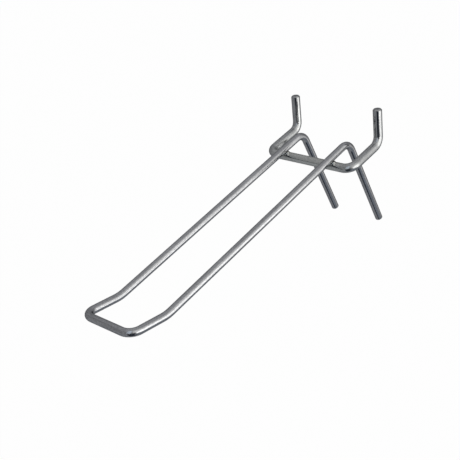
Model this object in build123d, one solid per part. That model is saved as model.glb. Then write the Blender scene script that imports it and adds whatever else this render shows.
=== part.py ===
from build123d import *
import os
from math import cos, radians, sin, tan

# Double hook for a perforated board: a long wire loop to hang goods on, welded on top of a
# thicker wire whose two prongs go through the board's holes and turn up behind it.
# Millimetres and degrees. The board's front face is the plane y = 0, the arms reach out
# towards -Y, +Z is up, and the origin lies midway between the two holes' centres.

# Board
hole_spacing = 50.8

# Wires
hook_wire_d = 3.76
mounting_wire_d = 4.5
end_chamfer = 0.6

# Hook wire, to the corners where its straight stretches would meet
leg_spacing = 28.6
front_spacing = 29.8
arm_reach = 152.4
arm_rise = 10.0
upturn_length = 20.0
upturn_angle = 16.6
leg_length = 55.2
rear_bend_r = 6.2
upturn_bend_r = 17.0
front_corner_r = 5.2

# Mounting wire, to the corners where its straight stretches would meet
crossbar_to_rear_corner = 15.4
prong_length = 24.0
prong_fall = 11.2
upright_length = 17.6
upright_lean = 25.0
prong_bend_r = 4.8
upright_bend_r = 5.0

# Welds, where each arm lies on the crossbar
weld_set_down = 0.25
weld_flash_length = 5.2
weld_flash_width = 2.9
weld_flash_thickness = 1.1
weld_flash_chamfer = 0.45


def towards_front(rise):
    """Direction away from the board, at an angle above the horizontal."""
    return Vector(0, -cos(radians(rise)), sin(radians(rise)))


def towards_back(fall):
    """Direction through the board from its front, at an angle below the horizontal."""
    return Vector(0, cos(radians(fall)), -sin(radians(fall)))


def upwards(lean):
    """Direction up and away behind the board, at an angle from the vertical."""
    return Vector(0, sin(radians(lean)), cos(radians(lean)))


def sideways(spacing):
    """Step from the middle of the hook to the right one of two things that far apart."""
    return Vector(spacing / 2, 0, 0)


def both_sides(right_side):
    """Corners of a symmetric wire, from its left end to its right end."""
    left_side = [Vector(-point.X, point.Y, point.Z) for point in right_side]
    return left_side + right_side[::-1]


def bent_wire(corners, bend_radii, diameter):
    """A round wire bent at its inner corners, with the edges of its cut ends chamfered."""
    centreline = FilletPolyline(*corners, radius=bend_radii)
    section = Plane(origin=centreline @ 0, z_dir=centreline % 0) * Circle(diameter / 2)
    wire = sweep(section, path=centreline)
    cut_ends = wire.faces().filter_by(GeomType.PLANE)
    return chamfer(cut_ends.edges(), end_chamfer)


# Side view of both wires. The legs' backs lie on the board, and each prong's axis crosses the
# board's front face at the height of the holes' centres.
along_arm = towards_front(arm_rise)
square_to_arm = upwards(arm_rise)
axis_gap = (hook_wire_d + mounting_wire_d) / 2 - weld_set_down
rear_corner_to_crossbar = along_arm * crossbar_to_rear_corner - square_to_arm * axis_gap
crossbar_y = rear_corner_to_crossbar.Y - hook_wire_d / 2
crossbar = Vector(0, crossbar_y, -crossbar_y * tan(radians(prong_fall)))

rear_corner = crossbar - rear_corner_to_crossbar
leg_end = rear_corner - Vector(0, 0, leg_length)
arm_straight = arm_reach - upturn_length * cos(radians(upturn_angle))
upturn_corner = rear_corner + along_arm * arm_straight
front_corner = upturn_corner + towards_front(arm_rise + upturn_angle) * upturn_length

upright_corner = crossbar + towards_back(prong_fall) * prong_length
upright_end = upright_corner + upwards(upright_lean) * upright_length


def make_hook_wire():
    """One wire: leg, arm and upturn, across the front, and back down the other side."""
    leg_side = sideways(leg_spacing)
    front_side = sideways(front_spacing)
    corners = both_sides([
        leg_end + leg_side, rear_corner + leg_side,
        upturn_corner + front_side, front_corner + front_side,
    ])
    side_radii = [rear_bend_r, upturn_bend_r, front_corner_r]
    return bent_wire(corners, side_radii + side_radii[::-1], hook_wire_d)


def make_weld_flash():
    """The thin bead of metal squeezed out along the crossbar where an arm was welded to it."""
    outline = SlotOverall(weld_flash_length, weld_flash_width)
    bead = extrude(outline, weld_flash_thickness / 2, both=True)
    return chamfer(bead.faces().sort_by(Axis.Z)[-1].edges(), weld_flash_chamfer)


def make_mounting_wire(hook_wire):
    """One wire: upright, prong, crossbar, prong and upright, with the arms' welds on it."""
    prong_side = sideways(hole_spacing)
    corners = both_sides([upright_end + prong_side, upright_corner + prong_side, crossbar + prong_side])
    side_radii = [upright_bend_r, prong_bend_r]
    wire = bent_wire(corners, side_radii + side_radii[::-1], mounting_wire_d)
    weld_height = (mounting_wire_d - weld_set_down) / 2
    weld_spacing = leg_spacing + (front_spacing - leg_spacing) * crossbar_to_rear_corner / arm_straight
    right_weld = crossbar + square_to_arm * weld_height + sideways(weld_spacing)
    for weld in both_sides([right_weld]):
        wire += Plane(origin=weld, x_dir=(1, 0, 0), z_dir=square_to_arm) * make_weld_flash()
    return wire - hook_wire


hook_wire = make_hook_wire()
mounting_wire = make_mounting_wire(hook_wire)

os.makedirs("parts", exist_ok=True)
for node, solid in (("hook_wire", hook_wire), ("mounting_wire", mounting_wire)):
    export_step(solid, f"parts/{node}.step")
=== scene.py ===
from math import cos, pi, radians, sin, tan

import bpy
from mathutils import Euler, Matrix, Vector

# Double hook of plated wire in a small photo studio. Metres and degrees. Directions round the
# hook are given as an azimuth, from its front (-Y) towards its right (+X), and an elevation.

# Camera, at the photograph's viewing angle
camera_place = (0.27447, -0.24520, 0.28646)
camera_turn = (45.960, 22.186, 38.414)
camera_lens_mm = 71.98
camera_sensor_mm = 36.0

# Studio
floor_height = -1.5
floor_size = 60.0
floor_white = 0.95
floor_lift = 0.96
fill_light = 0.75

# Plating
plating = 0.615
edge_tint = 0.6
hook_wire_tint = (0.998, 1.0, 1.008)
mounting_wire_tint = (0.99, 1.0, 0.99)
hook_wire_roughness = (0.07, 0.15)
mounting_wire_roughness = (0.05, 0.10)
# Painted light: the crossbar's colour is brightened and slightly warmed, standing in for a brighter
# reflection.
crossbar_painted_light = (1.36, 1.36, 1.30)
crossbar_half = 0.018
crossbar_fade = 0.006

# Lines that the drawing left along the wire, specks and waves
noise_low = 0.3
noise_high = 0.7
line_contrast = 0.3
line_detail = 4
line_detail_gain = 0.6
lines_round_wire = 3.5
lines_along_wire = 70.0
grain_size = 0.0006
grain_contrast = 0.18
grain_detail = 1
wave_size = 0.0012
wave_height = 0.000008
wave_detail = 2

# Places on the right half, each with its mirror image on the left
spot_core = 0.4
# Painted shade: the colour darkens in crevices, where the wires meet.
crevice_depth = 0.0012
crevice_painted_shade = 0.8
crevice_samples = 8
# Painted shade: the colour darkens round each weld, where arm and crossbar meet.
weld_place = (0.0144, -0.0174, 0.0056)
weld_reach = 0.0035
weld_painted_shade = 0.7
rubbed_to = 0.003
rubbed_fade = 0.003
rubbed_roughness = 0.1
bend_rub_place = (0.0233, -0.0120, 0.0033)
bend_rub_reach = 0.0055
bend_rub_roughness = 0.32
bend_mark_place = (0.0254, 0.0040, 0.0019)
bend_mark_reach = 0.0022
bend_mark_height = 0.00012

# Light tent round the hook, tipped forward with it as in the photograph
tent_centre = Vector((0.0, -0.07, 0.0))
tent_tilt = 33.3
tent_radius = 1.4
tent_low = 0.265
tent_high = 0.41
tent_rise_from = 0.5
tent_tint = (0.985, 1.0, 1.05)
opening_azimuth = 102
opening_elevation = -2
opening_lean = 18
opening_half_width = 62
opening_half_height = 87
opening_clear = 0.32
above_zero = 0.0001
patch_step = 5

# Softbox in the tent's opening
softbox_azimuth = 102
softbox_elevation = -2
softbox_distance = 1.2
softbox_size = 1.3
softbox_radiance = 0.85

# Cards inside the tent: azimuths, elevations, distance and colour
cards = {
    "table_card": ((0, 360), (-88, -17), 0.9, (0.28, 0.29, 0.31)),
    "blue_card": ((62, 162), (-60, -30), 0.85, (0.225, 0.25, 0.29)),
    "window_card": ((12, 40), (-2, 52), 0.9, (0.60, 0.665, 0.75)),
    "side_card": ((33, 68), (-20, 1), 0.8, (0.11, 0.115, 0.13)),
    "dark_card": ((16, 64), (-50, -19), 0.8, (0.018, 0.022, 0.032)),
    "dark_card_low": ((20, 90), (-78, -46), 0.82, (0.036, 0.043, 0.058)),
}


def direction(azimuth, elevation):
    """Unit vector from the hook towards a place in the tipped tent."""
    azimuth, elevation = radians(azimuth), radians(elevation)
    level = Vector((
        sin(azimuth) * cos(elevation),
        -cos(azimuth) * cos(elevation),
        sin(elevation),
    ))
    return Matrix.Rotation(-radians(tent_tilt), 3, "X") @ level


def add_object(name, data):
    """New object in the scene."""
    thing = bpy.data.objects.new(name, data)
    bpy.context.scene.collection.objects.link(thing)
    return thing


def new_material(name):
    """Material with an empty node tree, and the socket of its surface."""
    material = bpy.data.materials.new(name)
    material.use_nodes = True
    tree = material.node_tree
    tree.nodes.clear()
    output = tree.nodes.new("ShaderNodeOutputMaterial")
    return material, tree, output.inputs["Surface"]


def feed(tree, socket, value):
    """Set a node's input to a value, or link it to another node's socket."""
    if isinstance(value, bpy.types.NodeSocket):
        tree.links.new(value, socket)
    else:
        socket.default_value = value


def new_node(tree, kind, **inputs):
    """Node with its named inputs fed, where an underscore stands for a space in a name."""
    node = tree.nodes.new(kind)
    for name, value in inputs.items():
        feed(tree, node.inputs[name.replace("_", " ")], value)
    return node


def maths(tree, kind, operation, *values):
    """Maths node with its inputs fed in turn."""
    node = tree.nodes.new(kind)
    node.operation = operation
    for socket, value in zip(node.inputs, values):
        feed(tree, socket, value)
    return node


def number(tree, operation, *values):
    """Socket that holds the result of maths with numbers."""
    return maths(tree, "ShaderNodeMath", operation, *values).outputs[0]


def vector(tree, operation, *values):
    """Socket that holds the vector result of maths with vectors."""
    return maths(tree, "ShaderNodeVectorMath", operation, *values).outputs["Vector"]


def measure(tree, operation, *values):
    """Socket that holds the number result of maths with vectors."""
    return maths(tree, "ShaderNodeVectorMath", operation, *values).outputs["Value"]


def scaled(tree, value, scale):
    """Socket that holds a vector or colour multiplied by a number."""
    node = maths(tree, "ShaderNodeVectorMath", "SCALE", value)
    feed(tree, node.inputs["Scale"], scale)
    return node.outputs["Vector"]


def fade(tree, value, start, end, first=0, last=1, interpolation="LINEAR"):
    """Socket that goes from first to last while a value goes from start to end."""
    node = new_node(
        tree, "ShaderNodeMapRange", Value=value,
        From_Min=start, From_Max=end, To_Min=first, To_Max=last)
    node.interpolation_type = interpolation
    return node.outputs[0]


def mixed(tree, amount, first, second):
    """Socket that goes from one shader to another as an amount goes from 0 to 1."""
    node = tree.nodes.new("ShaderNodeMixShader")
    for socket, value in zip(node.inputs, (amount, first, second)):
        feed(tree, socket, value)
    return node.outputs[0]


def seen_ray(tree):
    """Socket that is 1 for rays which show the surroundings: straight on, mirrored or through."""
    path = tree.nodes.new("ShaderNodeLightPath")
    mirrored = number(tree, "MAXIMUM", path.outputs["Is Camera Ray"], path.outputs["Is Glossy Ray"])
    return number(tree, "MAXIMUM", mirrored, path.outputs["Is Transmission Ray"])


def make_world():
    """White surroundings, which light the hook from all sides a little less than they show."""
    world = bpy.data.worlds.new("studio")
    bpy.context.scene.world = world
    world.use_nodes = True
    tree = world.node_tree
    tree.nodes.clear()
    fill = new_node(tree, "ShaderNodeBackground", Color=(1, 1, 1, 1), Strength=fill_light)
    white = new_node(tree, "ShaderNodeBackground", Color=(1, 1, 1, 1), Strength=1)
    surface = mixed(tree, seen_ray(tree), fill.outputs[0], white.outputs[0])
    new_node(tree, "ShaderNodeOutputWorld", Surface=surface)


def make_floor():
    """Plain white floor well below the hook, which hangs on a board."""
    half = floor_size / 2
    corners = ((-half, -half), (half, -half), (half, half), (-half, half))
    mesh = bpy.data.meshes.new("floor")
    mesh.from_pydata([(x, y, floor_height) for x, y in corners], [], [(0, 1, 2, 3)])
    floor = add_object("floor", mesh)
    material, tree, surface = new_material("floor_white")
    diffuse = new_node(tree, "ShaderNodeBsdfDiffuse", Color=(floor_white, floor_white, floor_white, 1))
    white = new_node(tree, "ShaderNodeEmission", Strength=1)
    amount = number(tree, "MULTIPLY", seen_ray(tree), floor_lift)
    tree.links.new(mixed(tree, amount, diffuse.outputs[0], white.outputs[0]), surface)
    mesh.materials.append(material)


def round_patch(name, azimuths, elevations, distance, material):
    """Part of a sphere round the hook, between two azimuths and two elevations."""
    across = round((azimuths[1] - azimuths[0]) / patch_step)
    up = round((elevations[1] - elevations[0]) / patch_step)
    points = []
    for j in range(up + 1):
        elevation = elevations[0] + (elevations[1] - elevations[0]) * j / up
        for i in range(across + 1):
            azimuth = azimuths[0] + (azimuths[1] - azimuths[0]) * i / across
            points.append(tent_centre + direction(azimuth, elevation) * distance)
    row = across + 1
    faces = [
        (j * row + i, j * row + i + 1, (j + 1) * row + i + 1, (j + 1) * row + i)
        for j in range(up) for i in range(across)
    ]
    mesh = bpy.data.meshes.new(name)
    mesh.from_pydata(points, [], faces)
    mesh.materials.append(material)
    patch = add_object(name, mesh)
    patch.visible_camera = False
    patch.visible_diffuse = False
    patch.visible_shadow = False


def opening_axes():
    """Right, up and outward axes of the tent's opening, which leans over sideways."""
    outward = direction(opening_azimuth, opening_elevation)
    right = direction(opening_azimuth + 90, 0)
    up = right.cross(outward)
    up *= 1 if up.dot(direction(0, 90)) > 0 else -1
    lean = Matrix.Rotation(radians(opening_lean), 3, outward)
    right, up = lean @ right, lean @ up
    return Matrix((right, up, outward)).transposed()


def closed_part(tree, ray):
    """Socket that is 0 in the middle of the tent's opening and rises to 1 at its oval edge."""
    turned = new_node(
        tree, "ShaderNodeMapping", Vector=ray, Rotation=opening_axes().to_euler())
    turned.vector_type = "TEXTURE"
    parts = new_node(tree, "ShaderNodeSeparateXYZ", Vector=turned.outputs[0])
    across = number(tree, "DIVIDE", parts.outputs["X"], tan(radians(opening_half_width) / 2))
    up = number(tree, "DIVIDE", parts.outputs["Y"], tan(radians(opening_half_height) / 2))
    oval = new_node(tree, "ShaderNodeCombineXYZ", X=across, Y=up)
    size = measure(tree, "LENGTH", oval.outputs[0])
    outward = number(tree, "ADD", parts.outputs["Z"], 1 + above_zero)
    from_middle = number(tree, "DIVIDE", size, outward)
    return fade(tree, from_middle, opening_clear, 1, interpolation="SMOOTHSTEP")


def make_tent():
    """Grey tent that the plating mirrors, open on one side to the white surroundings."""
    material, tree, surface = new_material("tent_grey")
    place = tree.nodes.new("ShaderNodeNewGeometry")
    ray = vector(tree, "NORMALIZE", vector(tree, "SUBTRACT", place.outputs["Position"], tent_centre))
    height = measure(tree, "DOT_PRODUCT", ray, direction(0, 90))
    level = fade(tree, height, tent_rise_from, 1, tent_low, tent_high)
    grey = new_node(tree, "ShaderNodeEmission", Color=(*tent_tint, 1), Strength=level)
    clear = tree.nodes.new("ShaderNodeBsdfTransparent")
    tree.links.new(mixed(tree, closed_part(tree, ray), clear.outputs[0], grey.outputs[0]), surface)
    round_patch("tent", (0, 360), (-90, 90), tent_radius, material)


def make_cards():
    """Plain cards inside the tent."""
    for name, (azimuths, elevations, distance, colour) in cards.items():
        material, tree, surface = new_material(name)
        emission = new_node(tree, "ShaderNodeEmission", Color=(*colour, 1), Strength=1)
        tree.links.new(emission.outputs[0], surface)
        round_patch(name, azimuths, elevations, distance, material)


def make_softbox():
    """Soft round lamp in the opening of the tent."""
    backwards = direction(softbox_azimuth, softbox_elevation)
    lamp = bpy.data.lights.new("softbox", "AREA")
    lamp.shape = "ELLIPSE"
    lamp.size = softbox_size
    lamp.size_y = softbox_size
    lamp.energy = softbox_radiance * pi * pi * softbox_size ** 2 / 4
    softbox = add_object("softbox", lamp)
    softbox.location = tent_centre + backwards * softbox_distance
    softbox.rotation_euler = backwards.to_track_quat("Z", "Y").to_euler()


def make_camera():
    """Camera that sees the hook as the photograph does."""
    lens = bpy.data.cameras.new("camera")
    lens.lens = camera_lens_mm
    lens.sensor_width = camera_sensor_mm
    camera = add_object("camera", lens)
    camera.location = camera_place
    camera.rotation_euler = Euler([radians(a) for a in camera_turn])
    bpy.context.scene.camera = camera


def noise(tree, place, scale, detail, gain=0.5):
    """Socket that holds a smooth random number at each place."""
    node = new_node(
        tree, "ShaderNodeTexNoise", Vector=place, Scale=scale, Detail=detail, Roughness=gain)
    return node.outputs[0]


def near(tree, place, spot, reach):
    """Socket that is 1 at a spot on the right half and at its mirror image, and 0 beyond reach."""
    parts = new_node(tree, "ShaderNodeSeparateXYZ", Vector=place)
    folded = new_node(
        tree, "ShaderNodeCombineXYZ", X=number(tree, "ABSOLUTE", parts.outputs["X"]),
        Y=parts.outputs["Y"], Z=parts.outputs["Z"])
    distance = measure(tree, "DISTANCE", folded.outputs[0], spot)
    return fade(tree, distance, reach, reach * spot_core, interpolation="SMOOTHSTEP")


def drawn_lines(tree, texture):
    """Socket that holds a random number which changes fast round the wire and slowly along it."""
    round_wire = scaled(tree, texture.outputs["Normal"], lines_round_wire)
    place = vector(
        tree, "MULTIPLY_ADD", texture.outputs["Object"], (lines_along_wire,) * 3, round_wire)
    return noise(tree, place, 1, line_detail, line_detail_gain)


def painted_shade_and_specks(tree, place):
    """Socket of painted shade in the crevices and round the welds, times the plating's own specks."""
    # Painted shade: the colour is darkened where occlusion finds nearby surfaces.
    crevice_shade = new_node(tree, "ShaderNodeAmbientOcclusion", Distance=crevice_depth)
    crevice_shade.samples = crevice_samples
    painted_crevice_shade = fade(tree, crevice_shade.outputs["AO"], 0, 1, crevice_painted_shade, 1)
    painted_weld_shade = fade(tree, near(tree, place, weld_place, weld_reach), 0, 1, 1, weld_painted_shade)
    specks = noise(tree, place, 1 / grain_size, grain_detail)
    grain = fade(tree, specks, noise_low, noise_high, 1 - grain_contrast, 1 + grain_contrast)
    return number(tree, "MULTIPLY", number(tree, "MULTIPLY", painted_crevice_shade, painted_weld_shade), grain)


def uneven_normal(tree, place):
    """Socket of the surface's normal, with faint waves and the marks of bending the uprights."""
    waves = noise(tree, place, 1 / wave_size, wave_detail)
    bump = new_node(tree, "ShaderNodeBump", Strength=1, Distance=wave_height, Height=waves)
    dents = number(tree, "MULTIPLY", waves, near(tree, place, bend_mark_place, bend_mark_reach))
    marks = new_node(
        tree, "ShaderNodeBump", Strength=1, Distance=bend_mark_height, Height=dents,
        Normal=bump.outputs[0])
    return marks.outputs[0]


def make_plated_steel(name, tint, roughness, painted_light=(1, 1, 1)):
    """Bright plating over drawn wire, with painted light that brightens the crossbar's colour, and
    duller on the prongs.
    """
    material, tree, surface = new_material(name)
    texture = tree.nodes.new("ShaderNodeTexCoord")
    place = texture.outputs["Object"]
    parts = new_node(tree, "ShaderNodeSeparateXYZ", Vector=place)
    sideways = number(tree, "ABSOLUTE", parts.outputs["X"])
    past_crossbar = fade(tree, sideways, crossbar_half, crossbar_half + crossbar_fade)
    lines = drawn_lines(tree, texture)

    ramp = new_node(tree, "ShaderNodeValToRGB", Fac=lines)
    dark, bright = ramp.color_ramp.elements
    dark.position = noise_low
    dark.color = (*(plating * (1 - line_contrast) * t for t in tint), 1)
    bright.position = noise_high
    bright.color = (*(plating * t for t in tint), 1)
    # Painted light: the colour is brightened over the crossbar and fades out past its ends.
    painted_light_fall = tuple(1 - part for part in painted_light)
    painted_light_here = vector(tree, "MULTIPLY_ADD", past_crossbar, painted_light_fall, painted_light)
    colour_with_painted_light = vector(tree, "MULTIPLY", ramp.outputs[0], painted_light_here)
    # Painted shade from crevices and welds darkens the colour, together with the plating's specks.
    colour = scaled(tree, colour_with_painted_light, painted_shade_and_specks(tree, place))

    gloss = fade(tree, lines, noise_low, noise_high, roughness[1], roughness[0])
    before_board = fade(tree, parts.outputs["Y"], rubbed_to + rubbed_fade, rubbed_to)
    rubbed = number(tree, "MULTIPLY", past_crossbar, before_board)
    dull = number(tree, "MULTIPLY_ADD", rubbed, rubbed_roughness, gloss)
    bend_rub = near(tree, place, bend_rub_place, bend_rub_reach)
    metal = new_node(
        tree, "ShaderNodeBsdfPrincipled", Metallic=1, Base_Color=colour,
        Roughness=number(tree, "MULTIPLY_ADD", bend_rub, bend_rub_roughness, dull),
        Specular_Tint=(edge_tint, edge_tint, edge_tint, 1), Normal=uneven_normal(tree, place))
    tree.links.new(metal.outputs[0], surface)
    return material


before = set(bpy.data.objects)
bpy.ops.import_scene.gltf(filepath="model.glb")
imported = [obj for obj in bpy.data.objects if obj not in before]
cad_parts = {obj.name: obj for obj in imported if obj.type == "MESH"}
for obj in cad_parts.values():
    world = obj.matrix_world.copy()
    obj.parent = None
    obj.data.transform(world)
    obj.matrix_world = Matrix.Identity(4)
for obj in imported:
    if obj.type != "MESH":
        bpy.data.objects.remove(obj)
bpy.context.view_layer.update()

finishes = {
    "hook_wire": make_plated_steel("plated_hook_wire", hook_wire_tint, hook_wire_roughness),
    "mounting_wire": make_plated_steel(
        "plated_mounting_wire", mounting_wire_tint, mounting_wire_roughness, crossbar_painted_light),
}
for name, finish in finishes.items():
    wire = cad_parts[name]
    wire.data.materials.clear()
    wire.data.materials.append(finish)

make_world()
make_floor()
make_softbox()
make_tent()
make_cards()
make_camera()
bpy.context.scene.view_settings.view_transform = "Standard"
